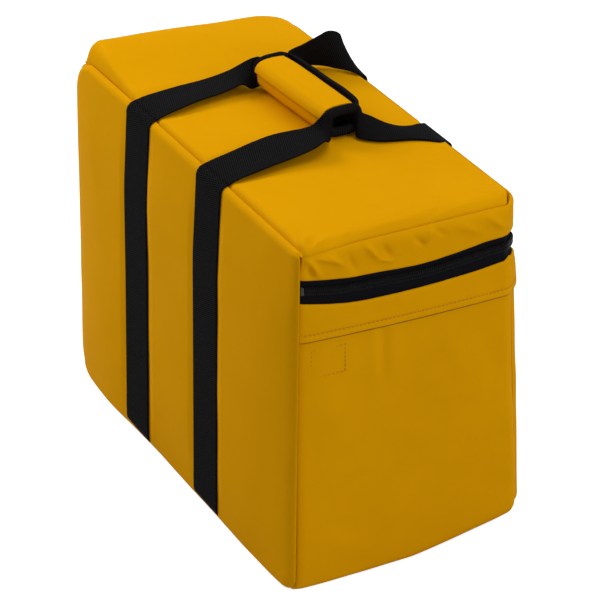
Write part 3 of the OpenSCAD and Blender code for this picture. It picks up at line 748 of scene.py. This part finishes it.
def strip(stations, step=4.0):  # stations: (one edge, other edge, thickness)
    rows = np.array([[*a, *b, t] for a, b, t in stations], float)
    knots = lengthAlong((rows[:, :3] + rows[:, 3:6]) / 2)
    s = np.linspace(0, knots[-1], max(8, int(knots[-1] / step)))
    rows = np.stack([curve(knots, rows[:, k], s) for k in range(7)], -1)
    half = np.array([0, 0.008, 0.04, 0.15, 0.32, 0.5, 0.68, 0.85, 0.96, 0.992, 1])
    grid = lerp(rows[:, None, 3:6], rows[:, None, :3], half[None, :, None])
    uv = np.stack(np.broadcast_arrays(s[:, None], bag["strapWidth"] * half[None, :]), -1)
    return shellOf(grid, uv, rows[:, 6])


def webPiece(name, parts, body, nodes):
    verts, faces, uv = [], [], []
    for v, f, t in parts:
        first = sum(len(x) for x in verts)
        faces += [tuple(k + first for k in face) for face in f]
        verts.append(v)
        uv.append(t)
    return makePiece(name, np.concatenate(verts), faces, np.concatenate(uv), webMat, body, nodes)


strapSet = {"thick": 1.8, "rightX": 118.6, "join": 350.0, "floor": 1.05, "slant": -12.0}
t0, rx = strapSet["thick"], strapSet["rightX"]


def rollSteps(cx, cz, r, angles):
    return [(cx - r * math.cos(math.radians(a)), cz + r * math.sin(math.radians(a))) for a in angles]


def girth(name, y, node):  # from the hinge down the left side, under the bag and up the right side
    path = rollSteps(side("left", 353) + leftSet["roll"], 353.5, 7.7, (88, 66, 42, 18))
    path += [(float(leftFace(np.array(float(y)), np.array(z))) - 1.0, z) for z in np.linspace(346, 20, 15)]
    path += rollSteps(path[-1][0] + 13, 14.0, 13.2, (-20, -45, -70))
    path += [(x, strapSet["floor"]) for x in (-105, -60, 0, 60, 108, 120)]
    path += [(2 * 121 - x, z) for x, z in rollSteps(121, 14.0, 13.8, (-70, -45, -20))]
    path += [(float(around(2.5 if y > 0 else 2.4, z)[0]) + 1.6, z) for z in np.linspace(22, 270, 11)]
    ends = ((0.5, 290), (0.85, 312), (1, 332), (1, strapSet["join"]))
    path += [(lerp(path[-1][0], rx, k), z) for k, z in ends]
    slant = strapSet["slant"] if y < 0 else 0.0
    stations = []
    for x, z in path[::-1]:
        middle = y + slant * float(ease((z - 190) / 150)) * (x > 0)
        half = bag["strapWidth"] / 2
        stations.append(((x, middle + half, z), (x, middle - half, z), t0))
    webPiece(name, [strip(stations)], "bag", [node])


girth("frontGirthStrap", bag["straps"][0], "front_girth_strap")
girth("rearGirthStrap", bag["straps"][1], "rear_girth_strap")

gripSet = {"length": 124, "height": 28, "x": 22, "y": 6, "low": 368, "turn": math.radians(3)}
gripEnd, gripLow, gripTop = gripSet["length"] / 2, gripSet["low"], gripSet["low"] + gripSet["height"]


def onGrip(x, y, z):
    c, s = math.cos(gripSet["turn"]), math.sin(gripSet["turn"])
    return (gripSet["x"] + x * c - y * s, gripSet["y"] + x * s + y * c, z)


# left handle: two arms, and the lip of webbing that shows at each end of the grip
rearArm = [((-110.8, 111, 361.3), (-110.8, 61, 361.3)), ((-103, 111, 363), (-104, 61, 364)),
           ((-84, 111, 365), (-84, 61.5, 368.5)), ((-61, 111, 366.5), (-61, 64, 371.5)),
           ((-38, 110, 368), (-38, 65.5, 373)), ((-22, 107, 371.5), (-25, 66, 375.5)),
           ((-11, 100, 378), (-16, 66, 377)), ((-4.5, 89, 388), (-10, 66.5, 373)),
           ((0, 79, 396), (-5.5, 68, 369)), ((4, 75, 398.5), (-1, 70, 368)), ((10, 72, 397), (6, 69, 370))]
frontArm = [((-110.8, -43, 361.3), (-110.8, -93, 361.3)), ((-102, -43, 363.5), (-102, -93, 364.5)),
            ((-84, -43, 367), (-84, -93, 368)), ((-62, -43, 371.8), (-62, -93, 371.5)),
            ((-39, -43, 375), (-39, -93, 375)), ((-20, -43.5, 375), (-20, -92, 378.5)),
            ((-8, -46, 376), (-10, -88, 380)), ((-1, -53, 382), (-3, -82, 377)),
            ((1.5, -59, 390), (2, -75, 372)), ((4, -62, 395), (5.5, -69, 368)),
            ((10, -60, 394), (10, -65, 369))]
lipLine = [(-18.6, -25), (-20.2, -14), (-19.4, -7), (-16.5, -2.2), (-10, 0.2), (2, 0.8), (12, 0.2),
           (17.5, -2.2), (20.4, -7), (20.8, -14), (20.2, -21), (16.5, -26), (9, -27.6), (-9, -27.6),
           (-16, -26)]
lipCurl = [(-14, 3.4), (-3, 3.3), (-0.6, 3.2), (0.5, 2.4), (1.2, 1.0), (2.6, 0.2), (4.6, 0.7), (6.2, 2.4),
           (6.8, 4.6), (6.2, 6.8), (4.2, 8.2), (1.5, 8.6)]


def lip(sign, lifted, out):
    line = np.array(lipLine) + [0, gripTop]
    line[:, 1] += lifted * np.clip((line[:, 1] - gripTop + 12) / 10, 0, 1)
    knots = lengthAlong(line)
    s = np.linspace(0, knots[-1], 72)
    line = np.stack([curve(knots, line[:, k], s) for k in range(2)], -1)
    t = np.gradient(line, axis=0)
    t /= np.linalg.norm(t, axis=1)[:, None]
    ends = [(sign * (gripEnd + o * (out if o > 0 else 1)), d) for o, d in lipCurl]
    grid = [[onGrip(x + tz * d, y, z - tx * d) for y, d in ends] for (x, z), (tx, tz) in zip(line, t)]
    uv = np.stack(np.meshgrid([float(o) for o, d in lipCurl], s), -1)[..., ::-1]
    return shellOf(np.array(grid), uv, t0)


arms = [strip([(a, b, t0) for a, b in arm], 2.5) for arm in (rearArm, frontArm)]
lips = [lip(1, 2.4, 1.15), lip(-1, 0.5, 1.0)]
leftHandle = webPiece("leftHandleStrap", arms + lips, None, ["left_handle_strap"])
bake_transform(leftHandle)

# right handle: it stands on edge behind the grip and lies folded along it
rightArm = [((rx, 111, 350), (rx, 61, 350), t0), ((rx - 0.2, 111, 355), (rx - 0.3, 61, 354.5), t0),
            ((rx - 1, 110.5, 361), (rx - 1.8, 60.5, 358.5), t0),
            ((rx - 3.5, 108.5, 369), (rx - 5.5, 58.5, 361.6), t0),
            ((111.5, 103, 378.5), (108.5, 55.5, 364.6), t0), ((106.5, 94, 388.5), (103.5, 57, 367), t0),
            ((100.5, 85.5, 398), (98, 66, 367.5), t0), ((92, 80, 405.5), (90, 77, 367.5), t0),
            ((83, 77, 408.5), (84.5, 85, 367.5), t0), ((71, 75, 406), (77, 92, 367.5), t0),
            ((54, 75, 400.5), (65, 97, 367.5), t0), ((44, 74.5, 398.5), (53, 90, 369), 2.0),
            (onGrip(18.5, 64, 398), onGrip(27.5, 70, 371), 2.6),
            (onGrip(20.5, 52, 396.5), onGrip(26, 54, 372), 3.4),
            (onGrip(21.5, 38, 396), onGrip(25.5, 40, 372), 3.6),
            (onGrip(21.8, 0, 396), onGrip(25, 0, 372), 3.6),
            (onGrip(22.3, -40, 396), onGrip(25, -40, 372), 3.6),
            (onGrip(22.0, -54, 394.5), onGrip(24, -57, 370.5), 3.6),
            ((42, -62, 390), (36, -73, 367.5), 3.4), ((52, -66, 383.5), (48, -86, 367.5), 3.4),
            ((66, -69, 374.5), (65, -93, 367.5), 3.2), ((81, -71, 368.5), (80, -98, 367.5), 3.0),
            ((93, -71, 366.6), (92, -104, 366.4), 2.4), ((101, -68.5, 365.6), (100.5, -110, 365.4), t0),
            ((108, -64.5, 363), (108, -111, 362.8), t0), ((113.2, -60.5, 360.4), (113.2, -109, 360.2), t0),
            ((117, -56.5, 356.6), (117, -106, 356.6), t0), ((rx, -55, 350), (rx, -105, 350), t0)]
rightHandle = webPiece("rightHandleStrap", [strip(rightArm, 2.5)], None, ["right_handle_strap"])
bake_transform(rightHandle)
print("webbing made")

# grip wrap and its flap, as cross-sections
wrapLine = [(-17.2, gripTop - 5.0), (-18.2, gripTop - 8.5), (-19.2, gripTop - 13), (-19.0, gripLow + 8),
            (-16.5, gripLow + 2.5), (-10, gripLow), (8, gripLow), (16, gripLow + 1.5), (19.6, gripLow + 7),
            (20.2, gripLow + 14), (19.6, gripTop - 7), (16.5, gripTop - 1.8), (11.3, gripTop)]
flapLine = [(-20.6, gripTop - 9.2), (-20.4, gripTop - 7), (-19.0, gripTop - 3.8), (-15.5, gripTop - 0.6),
            (-9, gripTop + 0.8), (0, gripTop + 1.0), (8, gripTop + 0.5), (10.9, gripTop)]


def wrapPiece(name, profile, body, nodes, thick, material, grow=0.0, short=0.0):
    prof = np.array(profile, float)
    run = lengthAlong(prof)
    fine = np.linspace(0, run[-1], 60)
    sect = np.stack([np.interp(fine, run, prof[:, k]) for k in range(2)], -1)
    for _ in range(6):
        sect[1:-1] = (sect[:-2] + 2 * sect[1:-1] + sect[2:]) / 4
    middle = np.array([1.0, gripLow + gripSet["height"] / 2])
    end = gripEnd - short
    ys = np.concatenate([[-end, -end + 0.6], np.linspace(-end + 3, end - 3, 48), [end - 0.6, end]])
    verts, uv = [], []
    for y in ys:
        k = abs(y) / gripEnd
        hem = 0.5 * math.exp(-((abs(y) - gripEnd + 6) / 1.5) ** 2)
        puff = 1 + 0.03 * (1 - k ** 4) - 0.03 * k ** 12 - hem * 0.03
        for s, spot in zip(fine, sect):
            d = spot - middle
            d = d * (puff + 0.014 * noise.noise((y / 24, s / 20, 4.0)) + grow / max(np.hypot(*d), 1))
            verts.append(onGrip(middle[0] + d[0], y, middle[1] + d[1]))
            uv.append((y, s))
    faces = gridFaces(len(ys), len(fine), flip=True)
    return makePiece(name, verts, faces, uv, material, body, nodes, thick)


wrapPiece("gripWrap", wrapLine, "left_handle", ["grip_cover"], 1.4, yellow)
flap = wrapPiece("gripFlap", flapLine, None, ["flap_cover"], 1.4, yellow)
[mm * v for v in onGrip(11.5, 0, gripTop)]
[mm * v for v in onGrip(1, 0, gripTop)]
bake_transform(flap)
wrapPiece("gripWrapPad", wrapLine[1:-1], "left_handle", ["grip_inner_pad"], 2.2, foamMat, -1.6, 6.0)
wrapPiece("gripFlapPad", flapLine[3:-1], "grip_flap", ["flap_pad"], 2.0, foamMat, -1.6, 6.0)


def stripBox(name, x0, x1, node, body):
    ys, zs = np.linspace(-57, 57, 44), np.linspace(gripTop - 8.6, gripTop - 4.4, 6)
    verts, uv = [], []
    for x in (x0, x1):
        for y in ys:
            for z in zs:
                verts.append(onGrip(x + 0.12 * noise.noise((y * 1.3, z * 1.7, x)), y, z))
                uv.append((y, z))
    n, c = len(ys), len(zs)
    one = gridFaces(n, c)
    faces = [tuple(f) for f in one] + [tuple(f[::-1] + n * c) for f in one]
    edge = [i * c for i in range(n)] + [(n - 1) * c + j for j in range(1, c)]
    edge += [i * c + c - 1 for i in range(n - 2, -1, -1)] + list(range(c - 2, 0, -1))
    for a, b in zip(edge, edge[1:] + edge[:1]):
        faces.append((b, a, a + n * c, b + n * c))
    makePiece(name, verts, faces, uv, hookMat, body, [node])


stripBox("loopStrip", -18.75, -18.3, "loop_strip", "grip_flap")
stripBox("hookStrip", -18.25, -17.8, "hook_strip", "left_handle")
for name, end in (("flapTackA", -57.5), ("flapTackB", 58.5)):
    line = np.array([onGrip(-20.9, end, z) for z in np.linspace(gripTop - 15, gripTop - 4, 12)])
    outward = np.array([np.subtract(onGrip(-1, 0, 0), onGrip(0, 0, 0))] * 12)
    beads(name, line, outward, None, tackShape, 3.2, 0, 6, threadAndHemShadeMat, "grip_flap")
print("grip made")

# lining: walls, hinge side, floor, lid and the fold between the lid and the hinge side
liningSet = {"low": 13.0, "rim": 293, "inset": 9.6, "lidZ": 348.5,
             "lidCorners": {(-1, -1): 6, (-1, 1): 20, (1, -1): 26, (1, 1): 46}}
hingeBend = np.array([(-108.4, 338), (-108.2, 344), (-107.8, 349), (-106.5, 352.5), (-104, 353.5),
                      (-101, 352.5), (-98, 350.8), (-94, 349.6)])


def ruck(a, b, depth, seed):
    return depth * np.abs(wander(a, b, 60, seed))


def liningPiece(name, grid, flat, flip, body, nodes=()):
    uv = np.stack(flat, -1)
    return gridPiece(name, np.stack(grid, -1), uv, flip, liningMat, body, nodes)


u, low, rim = spaced(0.0, 5.0, 8.0), liningSet["low"], liningSet["rim"]
spot = around(u, 30.0)
rows = [(3.6, rim + 3.5), (6.0, rim + 2.0), (8.6, rim + 1.4)]
raised = low + lift(spot[:, 0], spot[:, 1])
rows += [(liningSet["inset"], lerp(rim, raised, k)) for k in np.linspace(0, 1, 30)]
zz = overRows(u, rows)
push = -ruck(lengthAlong(around(u, 200.0))[None, :] + 0 * zz, zz, 0.8, 6.0)
liningWalls = stripPiece("liningWalls", u, rows, liningMat, "bag", ["lining_tub"], 0.0, push)
zs = np.concatenate([np.linspace(low, 350, 36), [354, 356.5]])
y, z = np.meshgrid(np.linspace(-229, 229, 50), zs, indexing="ij")
x = side("left", z) + 9.0 - 2.5 * ease((z - 349) / 8) + ruck(y, z, 0.8, 7.0)
liningLeft = liningPiece("liningLeft", (x, y, z), (y, z), True, "bag")
x, y = np.meshgrid(np.linspace(-113, 122, 30), np.linspace(-229, 230, 50), indexing="ij")
z = low + lift(x, y) + ruck(x, y, 0.6, 8.5)
liningFloor = liningPiece("liningFloor", (x, y, z), (x, y), False, "bag")
xLines = rimLines(-110.0, 110.0, 3, 36, (0.3, 1.0))
yLines = rimLines(-228.0, 231.0, 3, 60, (0.3, 1.0))
x, y, depth = rolledPanel(xLines, yLines, liningSet["lidCorners"])
z = liningSet["lidZ"] + depth + ruck(x, y, 0.5, 9.5)
lidLining = liningPiece("lidLining", (x, y, z), (x, y), True, "lid", ["lid_lining"])
x, y = np.meshgrid(hingeBend[:, 0], np.linspace(-231, 226, 50), indexing="ij")
z, across = (np.broadcast_to(v[:, None], x.shape) for v in (hingeBend[:, 1], lengthAlong(hingeBend)))
hingeLining = liningPiece("hingeLining", (x, y, z), (y, across), False, None)
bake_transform(hingeLining)
for cloth, under in ((hingeLining, "liningLeft"), (liningWalls, "frontPanel"), (liningLeft, "leftSidePanel"),
                     (liningFloor, "basePanel"), (lidLining, "topPanel")):
    clothSize(cloth)
print("lining made")

# zip slider and pull, taken over from the frame
for label in ("slider_body", "pull_tab"):
    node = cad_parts[label]
    node.data.materials.clear()
    node.data.materials.append(metalMat)
    bevel = node.modifiers.new("edge", "BEVEL")
    bevel.width, bevel.segments, bevel.limit_method = 0.0003, 2, "ANGLE"

# floor, light and camera
stageSet = {"floor": 9, "floorZ": -0.0004, "floorGlow": 0.84, "sky": 0.35,
            "lamps": [("keyLamp", (-0.9, 1.35, 1.4), 19.5, 0.8), ("topLamp", (0.3, 0.0, 2.6), 17.5, 2.0),
                      ("fillLamp", (1.2, -2.4, 1.7), 28.5, 1.4)],  # place, watts and size
            "aim": (0, 0, 0.2), "eye": (-1.18401, -2.28912, 1.59878),
            "look": (0.404834, 0.774883, -0.485455)}
floorShade = newShade("paleFloor", Base_Color=(0.6, 0.6, 0.6, 1), Roughness=0.9, Specular_IOR_Level=0.1,
                      Emission_Strength=1.0)
floorShade.backdrop("Emission Color", stageSet["floorGlow"], 0.0)
mesh = bpy.data.meshes.new("studioFloor")
far = stageSet["floor"]
corners = [(-far, -far), (far, -far), (far, far), (-far, far)]
mesh.from_pydata([(x, y, stageSet["floorZ"]) for x, y in corners], [], [(0, 1, 2, 3)])
mesh.materials.append(floorShade.owner)
floor = bpy.data.objects.new("studioFloor", mesh)
bpy.context.collection.objects.link(floor)

world = bpy.data.worlds.new("studio")
bpy.context.scene.world = world
Shade(world, Strength=1.0).backdrop("Color", 1.0, stageSet["sky"])

for label, spot, power, size in stageSet["lamps"]:
    lamp = bpy.data.lights.new(label, "AREA")
    lamp.energy, lamp.size = power, size
    lampObj = bpy.data.objects.new(label, lamp)
    lampObj.location = spot
    lampObj.rotation_euler = (Vector(stageSet["aim"]) - Vector(spot)).to_track_quat("-Z", "Y").to_euler()
    bpy.context.collection.objects.link(lampObj)

camera = bpy.data.cameras.new("photoCamera")
camera.lens, camera.sensor_width = 180, 36
camera.clip_end = 30
eye = bpy.data.objects.new("photoCamera", camera)
eye.location = stageSet["eye"]
eye.rotation_euler = Vector(stageSet["look"]).to_track_quat("-Z", "Y").to_euler()
bpy.context.collection.objects.link(eye)
scene = bpy.context.scene
scene.camera = eye
scene.view_settings.view_transform = "Standard"
print("stage made")
